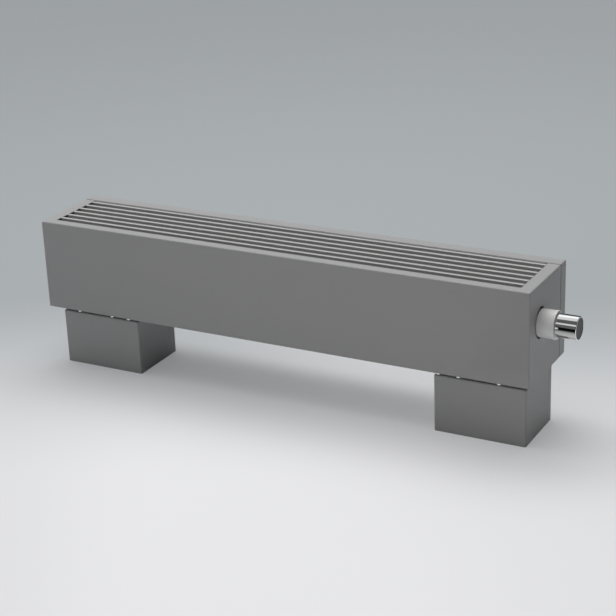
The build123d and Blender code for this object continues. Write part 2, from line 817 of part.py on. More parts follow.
def valve_insides():
    """Washer in the bonnet, the spring on it, the stem with its collar and the sealing disc."""
    plug_start = body_right - bonnet_plug_length
    collar_right = body_right + bonnet_flange - spring_chamber_end - stem_collar_gap
    collar_left = collar_right - stem_collar_width
    seat = rod_x(plug_start, plug_start + 1, valve_y, valve_z, spring_chamber_radius - fit_gap)
    seat -= rod_x(plug_start - 1, plug_start + 2, valve_y, valve_z, stem_radius + contact_gap)
    spring_start = plug_start + 1 + spring_wire
    spring_length = collar_left - spring_wire - spring_start
    spring_radius = (stem_radius + contact_gap + stem_collar_radius) / 2
    coil = Helix(spring_length / spring_turns, spring_length, spring_radius)
    wire_end = Plane(origin=coil @ 0, z_dir=coil % 0)
    spring = sweep(wire_end * Circle(spring_wire), coil, is_frenet=True)
    spring = Pos(spring_start, valve_y, valve_z) * Rot(0, 90, 0) * spring
    disc_left = seat_x + disc_lift
    disc = rod_x(disc_left, disc_left + disc_thickness, valve_y, valve_z, disc_radius)
    stem = rod_x(disc_left + disc_thickness, head_root, valve_y, valve_z, stem_radius)
    stem += rod_x(collar_left, collar_right, valve_y, valve_z, stem_collar_radius)
    return seat, spring, stem, disc


def head_parts():
    """The thermostatic head: nut, fixed base, sensor capsule and the handle that turns."""
    neck_start = bonnet_thread_end + fit_gap * 2
    neck_step = neck_start + neck_flange_length
    nut_end = neck_step + fit_gap * 2 + head_nut_lip_width
    nut_start = bonnet_thread_end - bonnet_thread_length
    nut = turned_x([
        (nut_start, head_nut_bore), (nut_start, head_nut_radius), (nut_end, head_nut_radius),
        (nut_end, head_nut_lip), (nut_end - head_nut_lip_width, head_nut_lip),
        (nut_end - head_nut_lip_width, head_nut_bore),
    ], valve_y, valve_z)

    sleeve_radius = handle_sleeve_bore + handle_sleeve_wall
    rim_start = head_base_end - head_rim_length
    base = turned_x([
        (neck_start, neck_bore_radius), (neck_start, neck_flange_radius),
        (neck_step, neck_flange_radius), (neck_step, neck_radius), (head_root, neck_radius),
        (head_root, head_base_radius - head_root_round),
        (head_root + head_root_round, head_base_radius), (rim_start, head_base_radius),
        (rim_start, head_rim_radius), (head_base_end, head_rim_radius),
        (head_base_end, sleeve_radius + contact_gap), (rim_start, sleeve_radius + contact_gap),
        (rim_start, head_base_radius - head_wall), (head_root + head_wall, head_base_radius - head_wall),
        (head_root + head_wall, neck_bore_radius),
    ], valve_y, valve_z)

    capsule = rod_x(capsule_start, capsule_start + capsule_length, valve_y, valve_z, capsule_radius)
    capsule += rod_x(head_root, capsule_start, valve_y, valve_z, pusher_radius)

    sleeve_start = handle_start - handle_sleeve_reach
    cap_seat = handle_end - end_cap_recess - end_cap_thickness
    shell_bore = handle_radius - handle_wall
    handle = turned_x([
        (sleeve_start, handle_sleeve_bore), (sleeve_start, sleeve_radius),
        (handle_start, sleeve_radius), (handle_start, handle_radius - handle_rim_round),
        (handle_start + handle_rim_round, handle_radius),
        (handle_end - handle_rim_round, handle_radius),
        (handle_end, handle_radius - handle_rim_round), (handle_end, shell_bore),
        (cap_seat, shell_bore), (cap_seat, 0), (cap_seat - handle_wall, 0),
        (cap_seat - handle_wall, shell_bore), (handle_start + handle_web, shell_bore),
        (handle_start + handle_web, handle_sleeve_bore),
    ], valve_y, valve_z)
    cap = rod_x(cap_seat, cap_seat + end_cap_thickness, valve_y, valve_z, shell_bore - fit_gap)
    ring_right = rim_start - contact_gap
    ring = rod_x(ring_right - ring_width, ring_right, valve_y, valve_z, sleeve_radius + ring_wall)
    ring -= rod_x(
        ring_right - ring_width - 1, ring_right + 1, valve_y, valve_z, sleeve_radius + fit_gap
    )
    return nut, base, capsule, handle, cap, ring


def pipe(x, z0, z1):
    return rod_z(z0, z1, x, valve_y, pipe_radius) - rod_z(z0 - 1, z1 + 1, x, valve_y, pipe_radius - pipe_wall)


def floor_fitting(x):
    """Coupling near the floor: pipe socket above, female thread below."""
    body = hex_z(fitting_bottom, fitting_top, x, valve_y, fitting_flats)
    body -= rod_z(fitting_bottom - 1, fitting_bottom + thread_bore_depth, x, valve_y, thread_bore_radius)
    body -= rod_z(fitting_bottom, fitting_top, x, valve_y, fitting_waist_radius)
    return body - rod_z(fitting_socket_floor, fitting_top + 1, x, valve_y, pipe_radius + fit_gap)


def lockshield():
    """Shut-off valve on the return, with its spindle towards the back under a cap."""
    branch_end = valve_y + branch_length
    body = rod_z(lockshield_bottom, return_stub_end, header_x, valve_y, lockshield_radius)
    body += rod_y(valve_y, branch_end, header_x, lockshield_axis_z, branch_radius)
    body -= rod_z(lockshield_bottom - 1, return_stub_end + 1, header_x, valve_y, fitting_waist_radius)
    body -= rod_z(
        lockshield_bottom - 1, lockshield_bottom + fitting_socket_depth, header_x, valve_y,
        pipe_radius + fit_gap,
    )
    body -= rod_y(valve_y, branch_end + 1, header_x, lockshield_axis_z, spindle_radius + stem_fit)
    spindle = rod_y(
        valve_y + spindle_inner_end, branch_end + spindle_slot, header_x, lockshield_axis_z, spindle_radius
    )
    spindle -= block(
        header_x - spindle_slot / 2, header_x + spindle_slot / 2, branch_end - spindle_slot,
        branch_end + 2 * spindle_slot, lockshield_axis_z - spindle_radius, lockshield_axis_z + spindle_radius,
    )
    cap_start = branch_end - cap_length / 2
    cap_bore = branch_radius + fit_gap
    cap = rod_y(cap_start, cap_start + cap_length, header_x, lockshield_axis_z, cap_bore + cap_wall)
    cap -= rod_y(
        cap_start - 1, cap_start + cap_length - cap_wall, header_x, lockshield_axis_z, cap_bore
    )
    return body, spindle, cap


def flow_compression_nut():
    nut_top = valve_z - inlet_length
    nut_bottom = nut_top - compression_nut_height
    nut = hex_z(nut_bottom, nut_top, flow_x, valve_y, fitting_flats)
    return nut - rod_z(nut_bottom - 1, nut_top + 1, flow_x, valve_y, pipe_radius + fit_gap)


def return_union_nut():
    """Nut round the joint of the return header's stub and the lockshield valve."""
    nut_top = return_stub_end + union_overlap
    nut_bottom = nut_top - return_nut_height
    nut = hex_z(nut_bottom, nut_top, header_x, valve_y, union_flats)
    nut -= rod_z(nut_bottom - 1, return_stub_end, header_x, valve_y, lockshield_radius + fit_gap)
    return nut - rod_z(return_stub_end, nut_top + 1, header_x, valve_y, elbow_radius + fit_gap)


os.makedirs("parts", exist_ok=True)

write("front_casing", front_casing())
write("rear_panel", rear_panel())
write("cover_clips", *cover_clips())
write("rear_panel_screws", *rear_panel_screws())
write("grille_ledge_left", grille_ledge(casing_left + sheet, 1))
write("grille_ledge_right", grille_ledge(casing_right - sheet, -1))
for side, (plinth_x, bolt_columns) in plinth_layout.items():
    write(f"support_plate_{side}", support_plate(plinth_x, bolt_columns))
    cover, back, base, back_screws = plinth(plinth_x, bolt_columns)
    spacers, bolts, nuts = plinth_fasteners(bolt_columns)
    write(f"plinth_cover_{side}", cover)
    write(f"plinth_back_{side}", back)
    write(f"plinth_base_{side}", base)
    write(f"plinth_back_screws_{side}", *back_screws)
    write(f"plinth_spacers_{side}", *spacers)
    write(f"plinth_bolts_{side}", *bolts)
    write(f"plinth_nuts_{side}", *nuts)

slats, rods, slat_spacers = grille()
write("grille_slats", *slats)
write("grille_rods", *rods)
write("grille_spacers", *slat_spacers)

left_plate_x, right_plate_x = end_plate_x()
write("fin_pack", fin_pack())
write("hairpin_tube_front", hairpin_tube(front_tube_y))
write("hairpin_tube_rear", hairpin_tube(rear_tube_y))
write("exchanger_end_plate_left", exchanger_end_plate(left_plate_x, -1))
write("exchanger_end_plate_right", exchanger_end_plate(right_plate_x, 1))
write("end_plate_screws", *end_plate_screws())
write("supply_header", supply_header())
write("return_header", header(low_tube_z, return_stub_end))
write("header_plugs", *header_plugs())
vent_body, bleed_screw = air_vent()
write("air_vent_body", vent_body)
write("bleed_screw", bleed_screw)

write("supply_elbow", supply_elbow())
write("supply_union_nut", supply_union_nut())
write("thermostatic_valve_body", valve_body())
write("valve_bonnet", valve_bonnet())
spring_seat, spring, stem, disc = valve_insides()
write("spring_seat", spring_seat)
write("valve_spring", spring)
write("valve_stem", stem)
write("valve_disc", disc)

head_nut, head_base, capsule, handle, end_cap, retaining_ring = head_parts()
write("head_union_nut", head_nut)
write("head_base", head_base)
write("sensor_capsule", capsule)
write("head_handle", handle)
write("handle_end_cap", end_cap)
write("head_retaining_ring", retaining_ring)

flow_top = valve_z - inlet_length + inlet_socket_depth
write("flow_compression_nut", flow_compression_nut())
write("flow_pipe", pipe(flow_x, fitting_socket_floor, flow_top))
write("flow_fitting", floor_fitting(flow_x))
write("return_union_nut", return_union_nut())
lockshield_body, spindle, lockshield_cap = lockshield()
write("lockshield_body", lockshield_body)
write("lockshield_spindle", spindle)
write("lockshield_cap", lockshield_cap)
write("return_pipe", pipe(header_x, fitting_socket_floor, lockshield_bottom + fitting_socket_depth))
write("return_fitting", floor_fitting(header_x))
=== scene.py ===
import math

import bmesh
import bpy
from mathutils import Matrix, Vector


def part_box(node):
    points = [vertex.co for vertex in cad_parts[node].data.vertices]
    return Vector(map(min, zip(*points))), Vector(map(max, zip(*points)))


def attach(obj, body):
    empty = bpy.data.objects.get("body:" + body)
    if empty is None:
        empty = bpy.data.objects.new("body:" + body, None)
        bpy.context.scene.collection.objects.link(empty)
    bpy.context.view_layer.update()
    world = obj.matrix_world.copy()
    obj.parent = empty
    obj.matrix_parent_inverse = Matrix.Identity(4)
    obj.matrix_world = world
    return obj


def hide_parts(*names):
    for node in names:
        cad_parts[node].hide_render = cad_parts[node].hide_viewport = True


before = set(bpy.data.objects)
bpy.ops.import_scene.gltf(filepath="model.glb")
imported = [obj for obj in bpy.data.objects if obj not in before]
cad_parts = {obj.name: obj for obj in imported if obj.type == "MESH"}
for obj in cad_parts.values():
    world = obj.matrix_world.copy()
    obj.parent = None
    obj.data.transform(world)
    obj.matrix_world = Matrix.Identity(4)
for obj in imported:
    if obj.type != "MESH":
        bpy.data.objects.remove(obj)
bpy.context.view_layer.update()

# Sizes are in metres. The head's axis runs along X through these two places.
MM = 0.001
MICRON = 0.001 * MM
HEAD_Y = -0.032
HEAD_Z = 0.186
ROUND_STEPS = 128
SMALL_STEPS = 28
SHARP = math.radians(32)
WELD = 1e-7
CAD_WELD = 1e-6


# Node trees

class Signal:
    """A number that changes over a surface. The usual signs add the Math nodes for it."""

    def __init__(self, nodes, socket):
        self.nodes = nodes
        self.socket = socket

    def reckon(self, operation, first, second=0.0):
        made = self.nodes.node("ShaderNodeMath", {"operation": operation}, {0: first, 1: second})
        return Signal(self.nodes, made.outputs[0])

    def __add__(self, other):
        return self.reckon("ADD", self, other)

    def __radd__(self, other):
        return self.reckon("ADD", other, self)

    def __sub__(self, other):
        return self.reckon("SUBTRACT", self, other)

    def __rsub__(self, other):
        return self.reckon("SUBTRACT", other, self)

    def __mul__(self, other):
        return self.reckon("MULTIPLY", self, other)

    def wave(self):
        return self.reckon("SINE", self)

    def between(self, low, high):
        """0 below low, 1 above high, with a soft passage between them."""
        made = self.nodes.node(
            "ShaderNodeMapRange", {"interpolation_type": "SMOOTHSTEP"},
            {"Value": self, "From Min": low, "From Max": high},
        )
        return Signal(self.nodes, made.outputs[0])


class Nodes:
    """A node tree with one way to add a node to it."""

    def __init__(self, tree):
        self.tree = tree
        tree.nodes.clear()

    def node(self, kind, settings=None, sockets=None):
        made = self.tree.nodes.new(kind)
        for setting, value in (settings or {}).items():
            setattr(made, setting, value)
        for socket, value in (sockets or {}).items():
            self.feed(made.inputs[socket], value)
        return made

    def feed(self, target, value):
        if isinstance(value, Signal):
            value = value.socket
        if isinstance(value, bpy.types.NodeSocket):
            self.tree.links.new(value, target)
        else:
            target.default_value = value

    def mix(self, factor, first, second):
        """Colour between first and second."""
        made = self.node("ShaderNodeMix", {"data_type": "RGBA"}, {0: factor, 6: first, 7: second})
        return made.outputs[2]

    def axes(self, vector):
        made = self.node("ShaderNodeSeparateXYZ", None, {0: vector})
        return [Signal(self, output) for output in made.outputs]


class Finish(Nodes):
    """A material whose patterns lie still on the piece."""

    def __init__(self, name):
        self.material = bpy.data.materials.new(name)
        self.material.use_nodes = True
        super().__init__(self.material.node_tree)
        self.place = self.node("ShaderNodeTexCoord").outputs["Object"]

    def stretched(self, stretch, shift=(0.0, 0.0, 0.0)):
        made = self.node(
            "ShaderNodeMapping", None, {"Vector": self.place, "Location": shift, "Scale": stretch}
        )
        return made.outputs[0]

    def grain(self, scale, detail, stretch=(1.0, 1.0, 1.0)):
        made = self.node(
            "ShaderNodeTexNoise", None,
            {"Vector": self.stretched(stretch), "Scale": scale, "Detail": detail},
        )
        return Signal(self, made.outputs[0])

    def relief(self, height, depth, strength):
        made = self.node(
            "ShaderNodeBump", None, {"Strength": strength, "Distance": depth, "Height": height}
        )
        return made.outputs[0]

    def done(self, **sockets):
        """Ends in one Principled shader. An underscore in a name stands for a space."""
        shader = self.node(
            "ShaderNodeBsdfPrincipled", None,
            {name.replace("_", " "): value for name, value in sockets.items()},
        )
        self.node("ShaderNodeOutputMaterial", None, {"Surface": shader.outputs[0]})
        return self.material


def grey(level, tint=(1.0, 1.0, 1.0)):
    return (level * tint[0], level * tint[1], level * tint[2], 1.0)


# Finishes

def powder_coat(name, level, gloss):
    """Satin powder coat: even grey with a fine orange peel and faint clouds of gloss."""
    finish = Finish(name)
    cloud = finish.grain(scale=9.0, detail=3.0)
    fleck = finish.grain(scale=5200.0, detail=1.0)
    peel = finish.grain(scale=620.0, detail=2.0)
    tone = cloud * 0.6 + fleck * 0.4
    return finish.done(
        Base_Color=finish.mix(tone, grey(level * 0.965), grey(level * 1.035)),
        Roughness=gloss + (cloud - 0.5) * 0.06 + (fleck - 0.5) * 0.05,
        Normal=finish.relief(peel + fleck * 0.25, depth=70 * MICRON, strength=0.55),
        IOR=1.5,
    )


def worked_metal(name, light, dark, roughness, scale, stretch, groove, tarnish=0.25):
    """Bare or plated metal: fine lines of working along one direction and a patchy surface."""
    finish = Finish(name)
    lines = finish.grain(scale, 3.0, stretch)
    patch = finish.grain(scale=38.0, detail=4.0)
    worn = patch.between(0.42, 0.68)
    return finish.done(
        Base_Color=finish.mix(worn * tarnish + lines * (1.0 - tarnish), dark, light),
        Roughness=roughness + (lines - 0.5) * 0.16 + worn * 0.07,
        Normal=finish.relief(lines, groove, strength=0.5),
        Metallic=1.0,
    )


def zinc_spangle(name):
    """Hot-dip zinc: crystals a few millimetres across, each with its own tone and gloss."""
    finish = Finish(name)
    cells = finish.node(
        "ShaderNodeTexVoronoi", {"feature": "F1"},
        {"Vector": finish.place, "Scale": 150.0, "Randomness": 1.0},
    )
    tone = finish.axes(cells.outputs["Color"])[0]
    dust = finish.grain(scale=700.0, detail=2.0)
    return finish.done(
        Base_Color=finish.mix(
            tone, grey(0.50, (0.97, 1.0, 1.02)), grey(0.66, (0.98, 1.0, 1.02))
        ),
        Roughness=0.34 + tone * 0.14 + (dust - 0.5) * 0.08,
        Normal=finish.relief(tone * 0.4 + dust, depth=30 * MICRON, strength=0.4),
        Metallic=1.0,
    )


def bright_chrome(name):
    """Polished chrome with the faint haze of wiping and hairline scratches."""
    finish = Finish(name)
    haze = finish.grain(scale=55.0, detail=3.0)
    scratches = finish.grain(scale=2400.0, detail=2.0, stretch=(0.06, 1.0, 1.0))
    hairline = scratches.between(0.62, 0.74)
    cool = (0.985, 0.995, 1.0)
    return finish.done(
        Base_Color=finish.mix(haze, grey(0.80, cool), grey(0.86, cool)),
        Roughness=0.045 + haze * 0.03 + hairline * 0.03,
        Normal=finish.relief(hairline, depth=2 * MICRON, strength=0.2),
        Metallic=1.0,
    )


def moulded_plastic(name, level, gloss):
    """Moulded plastic: nearly plain, with a fine spark-eroded texture and flow marks."""
    finish = Finish(name)
    flow = finish.grain(scale=42.0, detail=2.0, stretch=(1.0, 2.2, 2.2))
    texture = finish.grain(scale=3000.0, detail=1.0)
    ivory = grey(level, (1.0, 0.995, 0.975))
    paler = grey(level * 1.04, (1.0, 1.0, 0.99))
    return finish.done(
        Base_Color=finish.mix(flow, ivory, paler),
        Roughness=gloss + (texture - 0.5) * 0.1 + (flow - 0.5) * 0.05,
        Normal=finish.relief(texture, depth=20 * MICRON, strength=0.35),
        IOR=1.49,
    )


def turned_face(name):
    """Dark lacquered end face with the fine rings that the lathe leaves."""
    finish = Finish(name)
    rings = finish.node(
        "ShaderNodeTexWave", {"wave_type": "RINGS", "rings_direction": "X"},
        {
            "Vector": finish.stretched(EVEN, (0.0, -HEAD_Y, -HEAD_Z)),
            "Scale": 460.0, "Distortion": 0.4, "Detail": 1.0,
        },
    )
    groove = Signal(finish, rings.outputs["Fac"])
    cloud = finish.grain(scale=120.0, detail=3.0)
    blue = (0.93, 1.0, 1.07)
    return finish.done(
        Base_Color=finish.mix(cloud, grey(0.022, blue), grey(0.040, blue)),
        Roughness=0.34 + groove * 0.10 + (cloud - 0.5) * 0.06,
        Normal=finish.relief(groove, depth=10 * MICRON, strength=0.5),
        Metallic=0.35,
    )


def dull_rubber(name):
    """Black rubber with a dusty, slightly rough skin."""
    finish = Finish(name)
    dust = finish.grain(scale=420.0, detail=4.0)
    return finish.done(
        Base_Color=finish.mix(dust, grey(0.022), grey(0.045)),
        Roughness=0.62 + dust * 0.2,
        Normal=finish.relief(dust, depth=80 * MICRON, strength=0.6),
        IOR=1.45,
    )


# The scale of the marks of working along each axis. A small one draws them out.
ALONG_X = (0.05, 1.0, 1.0)
ALONG_Z = (1.0, 1.0, 0.05)
EVEN = (1.0, 1.0, 1.0)

WARM_COPPER = (0.70, 0.33, 0.20, 1.0)
BROWN_COPPER = (0.42, 0.19, 0.11, 1.0)
YELLOW_BRASS = (0.66, 0.48, 0.22, 1.0)
DULL_BRASS = (0.42, 0.31, 0.15, 1.0)
NICKEL_TINT = (1.02, 1.0, 0.94)

finishes = {
    "casing_paint": powder_coat("casing_powder_coat", level=0.325, gloss=0.44),
    # The grille has the casing's paint, set lighter here as painted light, so that the bar tops look
    # as bright as the light from above makes them.
    "grille_paint": powder_coat("grille_powder_coat", level=0.40, gloss=0.40),
    "grille_spacer": powder_coat("grille_sleeve_coat", level=0.13, gloss=0.5),
    # The spacers' steel is set near white, paler than real steel: a painted highlight, so that they
    # show as bright dots in the gap.
    "polished_spacer": worked_metal(
        "polished_spacer_steel", light=grey(0.97), dark=grey(0.88),
        roughness=0.16, scale=900.0, stretch=ALONG_Z, groove=4 * MICRON,
    ),
    "galvanised": zinc_spangle("galvanised_zinc"),
    "fixing_steel": worked_metal(
        "zinc_plated_steel", light=grey(0.68, (0.98, 1.0, 1.03)), dark=grey(0.46),
        roughness=0.26, scale=1400.0, stretch=EVEN, groove=8 * MICRON,
    ),
    "spring_steel": worked_metal(
        "blued_spring_steel", light=grey(0.30, (0.95, 1.0, 1.08)), dark=grey(0.16),
        roughness=0.30, scale=1800.0, stretch=EVEN, groove=6 * MICRON,
    ),
    "fin_aluminium": worked_metal(
        "rolled_aluminium", light=grey(0.78), dark=grey(0.58),
        roughness=0.30, scale=900.0, stretch=ALONG_Z, groove=8 * MICRON, tarnish=0.4,
    ),
    "copper": worked_metal(
        "drawn_copper", light=WARM_COPPER, dark=BROWN_COPPER,
        roughness=0.28, scale=900.0, stretch=ALONG_X, groove=10 * MICRON, tarnish=0.5,
    ),
    "brass": worked_metal(
        "turned_brass", light=YELLOW_BRASS, dark=DULL_BRASS,
        roughness=0.27, scale=1300.0, stretch=EVEN, groove=10 * MICRON, tarnish=0.4,
    ),
    "nickel": worked_metal(
        "satin_nickel", light=grey(0.64, NICKEL_TINT), dark=grey(0.50, NICKEL_TINT),
        roughness=0.24, scale=1500.0, stretch=EVEN, groove=5 * MICRON,
    ),
    "seal_rubber": dull_rubber("seal_rubber"),
    "white_plastic": moulded_plastic("white_head_plastic", level=0.76, gloss=0.33),
    "polished_chrome": bright_chrome("polished_chrome"),
    "dark_end_face": turned_face("dark_turned_face"),
}


def finish_cad_nodes():
    """Each carried-over node takes the finish of its slot in the record."""
    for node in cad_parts.values():
        for place in node.material_slots:
            slot_name = place.material.name.split(".")[0]
            place.material = finishes[slot_name]


# Meshes

def as_piece(name, mesh, body, slot_name):
    """A finished mesh becomes a piece at the origin, riding a body."""
    mesh.set_sharp_from_angle(angle=SHARP)
    piece = bpy.data.objects.new(name, mesh)
    bpy.context.scene.collection.objects.link(piece)
    if not mesh.materials or mesh.materials[0] is None:
        mesh.materials.clear()
        mesh.materials.append(finishes[slot_name])
    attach(piece, body)
    return piece


def to_mesh(name, form):
    """Closes the bmesh into a mesh with smooth faces that point outwards."""
    bmesh.ops.remove_doubles(form, verts=form.verts, dist=WELD)
    bmesh.ops.recalc_face_normals(form, faces=form.faces)
    for face in form.faces:
        face.smooth = True
    mesh = bpy.data.meshes.new(name)
    form.to_mesh(mesh)
    form.free()
    return mesh


def rounded(outline, rounds, steps=5):
    """The outline with each corner in rounds turned into an arc of that radius."""
    points = []
    count = len(outline)
    for place, corner in enumerate(outline):
        corner = Vector(corner)
        radius = rounds.get(place, 0.0)
        if not radius:
            points.append(corner)
            continue
        before = (Vector(outline[place - 1]) - corner).normalized()
        after = (Vector(outline[(place + 1) % count]) - corner).normalized()
        half = before.angle(after) / 2
        reach = radius / math.tan(half)
        centre = corner + (before + after).normalized() * radius / math.sin(half)
        first = corner + before * reach - centre
        last = corner + after * reach - centre
        turn = first.angle_signed(last)
        for step in range(steps + 1):
            swing = Matrix.Rotation(-turn * step / steps, 2)
            points.append(centre + swing @ first)
    return points


def lathe(outline, steps):
    """Turns a closed outline of (along, radius) points round the X axis."""
    form = bmesh.new()
    rings = []
    for along, radius in outline:
        if radius < WELD:
            rings.append([form.verts.new((along, 0.0, 0.0))])
            continue
        ring = []
        for step in range(steps):
            angle = 2 * math.pi * step / steps
            ring.append(form.verts.new((along, radius * math.cos(angle), radius * math.sin(angle))))
        rings.append(ring)
    for place, ring in enumerate(rings):
        other = rings[(place + 1) % len(rings)]
        if len(ring) == 1 and len(other) == 1:
            continue
        for step in range(steps):
            after = (step + 1) % steps
            corners = [ring[step % len(ring)], other[step % len(other)]]
            if len(other) > 1:
                corners.append(other[after])
            if len(ring) > 1:
                corners.append(ring[after])
            form.faces.new(corners)
    return form


def on_head_axis(form):
    bmesh.ops.translate(form, verts=form.verts, vec=(0.0, HEAD_Y, HEAD_Z))
    return form


def islands(node_name):
    """Low and high corner of each separate solid of a CAD node."""
    form = bmesh.new()
    form.from_mesh(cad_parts[node_name].data)
    bmesh.ops.remove_doubles(form, verts=form.verts, dist=CAD_WELD)
    seen = set()
    boxes = []
    for start in form.verts:
        if start in seen:
            continue
        seen.add(start)
        reached = [start]
        for vertex in reached:
            for edge in vertex.link_edges:
                other = edge.other_vert(vertex)
                if other not in seen:
                    seen.add(other)
                    reached.append(other)
        low = Vector([min(vertex.co[axis] for vertex in reached) for axis in range(3)])
        high = Vector([max(vertex.co[axis] for vertex in reached) for axis in range(3)])
        boxes.append((low, high))
    form.free()
    return boxes


# Rules for what repeats

class Rule(Nodes):
    """A Geometry Nodes tree with named inputs that ends in one plain mesh with a material."""

    def __init__(self, name, inputs):
        tree = bpy.data.node_groups.new(name, "GeometryNodeTree")
        super().__init__(tree)
        tree.interface.new_socket("Geometry", in_out="OUTPUT", socket_type="NodeSocketGeometry")
        tree.interface.new_socket("Geometry", in_out="INPUT", socket_type="NodeSocketGeometry")
        for label, kind in inputs.items():
            tree.interface.new_socket(label, in_out="INPUT", socket_type="NodeSocket" + kind)
        tree.interface.new_socket("Material", in_out="INPUT", socket_type="NodeSocketMaterial")
        self.given = self.node("NodeGroupInput").outputs

    def end(self, geometry):
        plain = self.node("GeometryNodeRealizeInstances", None, {0: geometry}).outputs[0]
        painted = self.node(
            "GeometryNodeSetMaterial", None, {"Geometry": plain, "Material": self.given["Material"]}
        )
        self.node("NodeGroupOutput", None, {0: painted.outputs[0]})

    def join(self, *parts):
        made = self.node("GeometryNodeJoinGeometry")
        for part in reversed(parts):
            self.tree.links.new(part, made.inputs[0])
        return made.outputs[0]

    def row(self, count, step):
        """Points one step apart, the first at the origin."""
        return self.node(
            "GeometryNodeMeshLine", {"mode": "OFFSET"}, {"Count": count, "Offset": step}
        ).outputs[0]

    def repeat(self, points, piece):
        return self.node(
            "GeometryNodeInstanceOnPoints", None, {"Points": points, "Instance": piece}
        ).outputs[0]

    def moved(self, geometry, shift):
        return self.node(
            "GeometryNodeTransform", None, {"Geometry": geometry, "Translation": shift}
        ).outputs[0]

    def vector(self, x=0.0, y=0.0, z=0.0):
        made = self.node("ShaderNodeCombineXYZ", None, {0: x, 1: y, 2: z})
        return made.outputs[0]


def grow(name, rule, material, places=None, **inputs):
    """Runs a rule and keeps the plain mesh that it makes."""
    holder = bpy.data.objects.new(name, places or bpy.data.meshes.new(name))
    bpy.context.scene.collection.objects.link(holder)
    modifier = holder.modifiers.new(name, "NODES")
    modifier.node_group = rule.tree
    inputs["Material"] = material
    for item in rule.tree.interface.items_tree:
        if item.in_out == "INPUT" and item.name in inputs:
            modifier[item.identifier] = inputs[item.name]
    graph = bpy.context.evaluated_depsgraph_get()
    mesh = bpy.data.meshes.new_from_object(holder.evaluated_get(graph), depsgraph=graph)
    mesh.name = name
    holder.modifiers.remove(modifier)
    bpy.data.objects.remove(holder)
    form = bmesh.new()
    form.from_mesh(mesh)
    bmesh.ops.remove_doubles(form, verts=form.verts, dist=WELD)
    for face in form.faces:
        face.smooth = True
    form.to_mesh(mesh)
    form.free()
    return mesh


def bars_rule():
    """Long bars with softly rounded edges, side by side."""
    rule = Rule("grille_bars_rule", {
        "Start": "Vector", "Length": "Float", "Width": "Float", "Depth": "Float",
        "Round": "Float", "Pitch": "Float", "Count": "Int",
    })
    given = rule.given
    section = rule.node(
        "GeometryNodeCurvePrimitiveQuadrilateral", None,
        {"Width": given["Width"], "Height": given["Depth"]},
    ).outputs[0]
    section = rule.node(
        "GeometryNodeFilletCurve", {"mode": "POLY"},
        {"Curve": section, "Count": 4, "Radius": given["Round"], "Limit Radius": True},
    ).outputs[0]
    path = rule.node(
        "GeometryNodeCurvePrimitiveLine", None, {"End": rule.vector(x=given["Length"])}
    ).outputs[0]
    bar = rule.node(
        "GeometryNodeCurveToMesh", None,
        {"Curve": path, "Profile Curve": section, "Fill Caps": True},
    ).outputs[0]
    bars = rule.repeat(rule.row(given["Count"], rule.vector(y=given["Pitch"])), bar)
    rule.end(rule.moved(bars, given["Start"]))
    return rule


def fins_rule():
    """Thin rippled fins standing in a row, with the collars that hold them on the tubes."""
    rule = Rule("fin_rule", {
        "Start": "Vector", "Depth": "Float", "Height": "Float", "Thickness": "Float",
        "Ripple": "Float", "Waves": "Float", "Steps": "Int", "Pitch": "Float", "Count": "Int",
        "Tube Row": "Float", "Tube Rows Apart": "Float", "Tube Level": "Float",
        "Tube Levels Apart": "Float", "Collar": "Float", "Collar Length": "Float",
    })
    given = rule.given
    edge = rule.node(
        "GeometryNodeCurvePrimitiveLine", None, {"End": rule.vector(y=given["Depth"])}
    ).outputs[0]
    edge = rule.node(
        "GeometryNodeResampleCurve", None, {"Curve": edge, "Count": given["Steps"]}
    ).outputs[0]
    along = Signal(rule, rule.node("GeometryNodeSplineParameter").outputs["Factor"])
    sway = (along * Signal(rule, given["Waves"])).wave() * Signal(rule, given["Ripple"])
    edge = rule.node(
        "GeometryNodeSetPosition", None, {"Geometry": edge, "Offset": rule.vector(x=sway)}
    ).outputs[0]
    section = rule.node(
        "GeometryNodeCurvePrimitiveQuadrilateral", None,
        {"Width": given["Thickness"], "Height": given["Height"]},
    ).outputs[0]
    fin = rule.node(
        "GeometryNodeCurveToMesh", None,
        {"Curve": edge, "Profile Curve": section, "Fill Caps": True},
    ).outputs[0]
    fins = rule.repeat(rule.row(given["Count"], rule.vector(x=given["Pitch"])), fin)

    axis = rule.node(
        "GeometryNodeCurvePrimitiveLine", None, {"End": rule.vector(x=given["Collar Length"])}
    ).outputs[0]
    circle = rule.node(
        "GeometryNodeCurvePrimitiveCircle", None, {"Resolution": 24, "Radius": given["Collar"]}
    ).outputs[0]
    collar = rule.node(
        "GeometryNodeCurveToMesh", None,
        {"Curve": axis, "Profile Curve": circle, "Fill Caps": True},
    ).outputs[0]
    low_row = rule.repeat(rule.row(2, rule.vector(y=given["Tube Rows Apart"])), collar)
    both = rule.repeat(rule.row(2, rule.vector(z=given["Tube Levels Apart"])), low_row)
    both = rule.moved(both, rule.vector(y=given["Tube Row"], z=given["Tube Level"]))
    rule.end(rule.moved(rule.join(fins, both), given["Start"]))
    return rule


def setting_rule():
    """Sets one small part at every point, turned to face the right way."""
    rule = Rule("setting_rule", {"Part": "Object", "Turn": "Rotation"})
    part = rule.node(
        "GeometryNodeObjectInfo", {"transform_space": "ORIGINAL"}, {"Object": rule.given["Part"]}
    ).outputs["Geometry"]
    rule.end(rule.node(
        "GeometryNodeInstanceOnPoints", None,
        {"Points": rule.given["Geometry"], "Instance": part, "Rotation": rule.given["Turn"]},
    ).outputs[0])
    return rule


BARS = bars_rule()
FINS = fins_rule()
SETTING = setting_rule()


# Grille

BAR_ROUND = 0.6 * MM
bar_boxes = sorted(islands("grille_slats"), key=lambda box: box[0].y)


